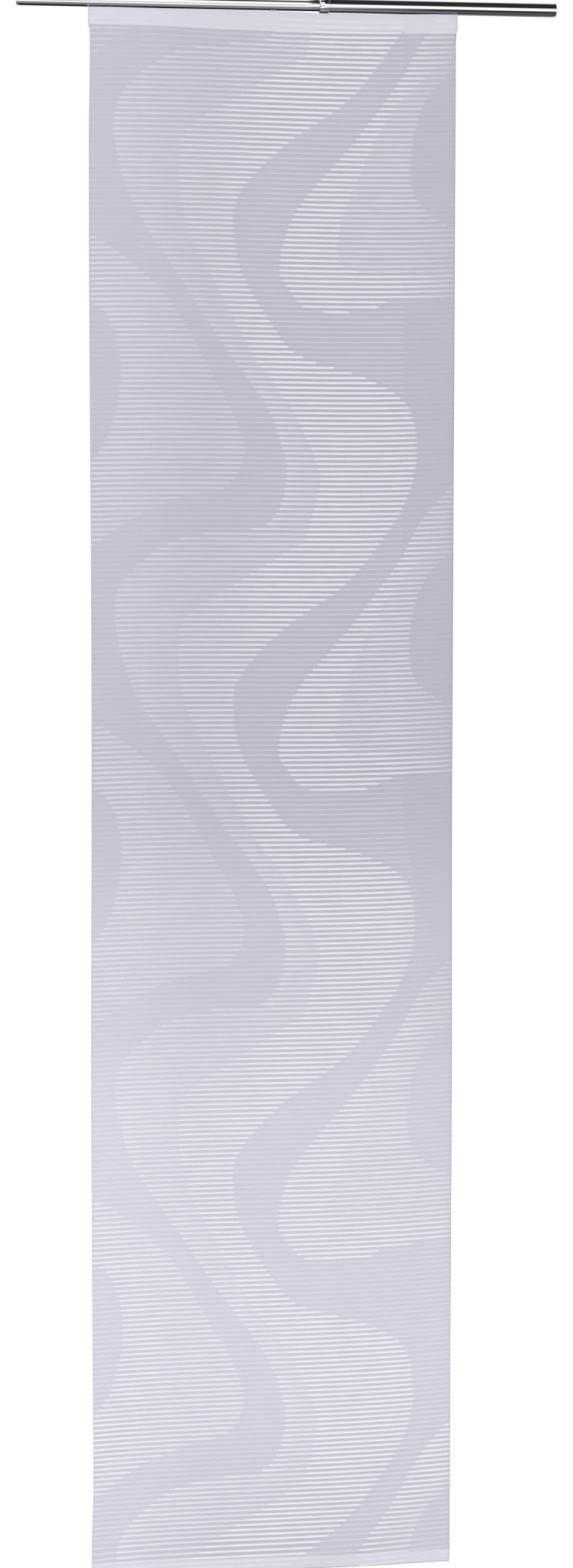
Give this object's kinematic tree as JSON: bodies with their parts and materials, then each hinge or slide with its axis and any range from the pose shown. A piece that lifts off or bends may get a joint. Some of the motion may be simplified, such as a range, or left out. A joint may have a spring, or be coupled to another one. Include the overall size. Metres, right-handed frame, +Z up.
{
  "type": "sliding panel curtain",
  "caption": "Flat sheer panel curtain, woven in waved horizontal ribs, that slides on gliders inside a chromed telescopic rod.",
  "frame": {"origin": "on the rod's axis, straight above the middle of the panel", "axes": "+X along the rod to the viewer's right, +Y away from the viewer, +Z up"},
  "size_m": [0.8411, 0.0244, 2.4752],
  "materials": {
    "rod_chrome": "polished",
    "glider_plastic": "satin",
    "rail_aluminium": "satin",
    "fastening_tape": "matte",
    "cloth": "matte"
  },
  "bodies": {
    "rod": {"outer_tube": "rod_chrome", "rod_collar": "rod_chrome", "end_cap_right": "rod_chrome"},
    "rod_inner": {"inner_tube": "rod_chrome", "end_cap_left": "rod_chrome"},
    "gliders": {"glider_left": "glider_plastic", "glider_middle": "glider_plastic", "glider_right": "glider_plastic"},
    "panel": {"carrier_rail": "rail_aluminium", "carrier_cap_left": "glider_plastic", "carrier_cap_right": "glider_plastic", "hook_tape": "fastening_tape", "loop_tape": "fastening_tape", "curtain_cloth": "cloth", "weight_bar": "rail_aluminium"}
  },
  "joints": [
    {"name": "rod_extend", "type": "slide", "parent": "rod", "child": "rod_inner", "axis": [-1, 0, 0], "range_m": [0, 0.25]},
    {"name": "panel_slide", "type": "slide", "parent": "rod", "child": "gliders", "axis": [1, 0, 0], "range_m": [-0.12, 0.17]},
    {"name": "panel_swing", "type": "hinge", "parent": "gliders", "child": "panel", "pos_m": [0, 0, -0.017], "axis": [1, 0, 0], "range_deg": [-8, 8]}
  ]
}
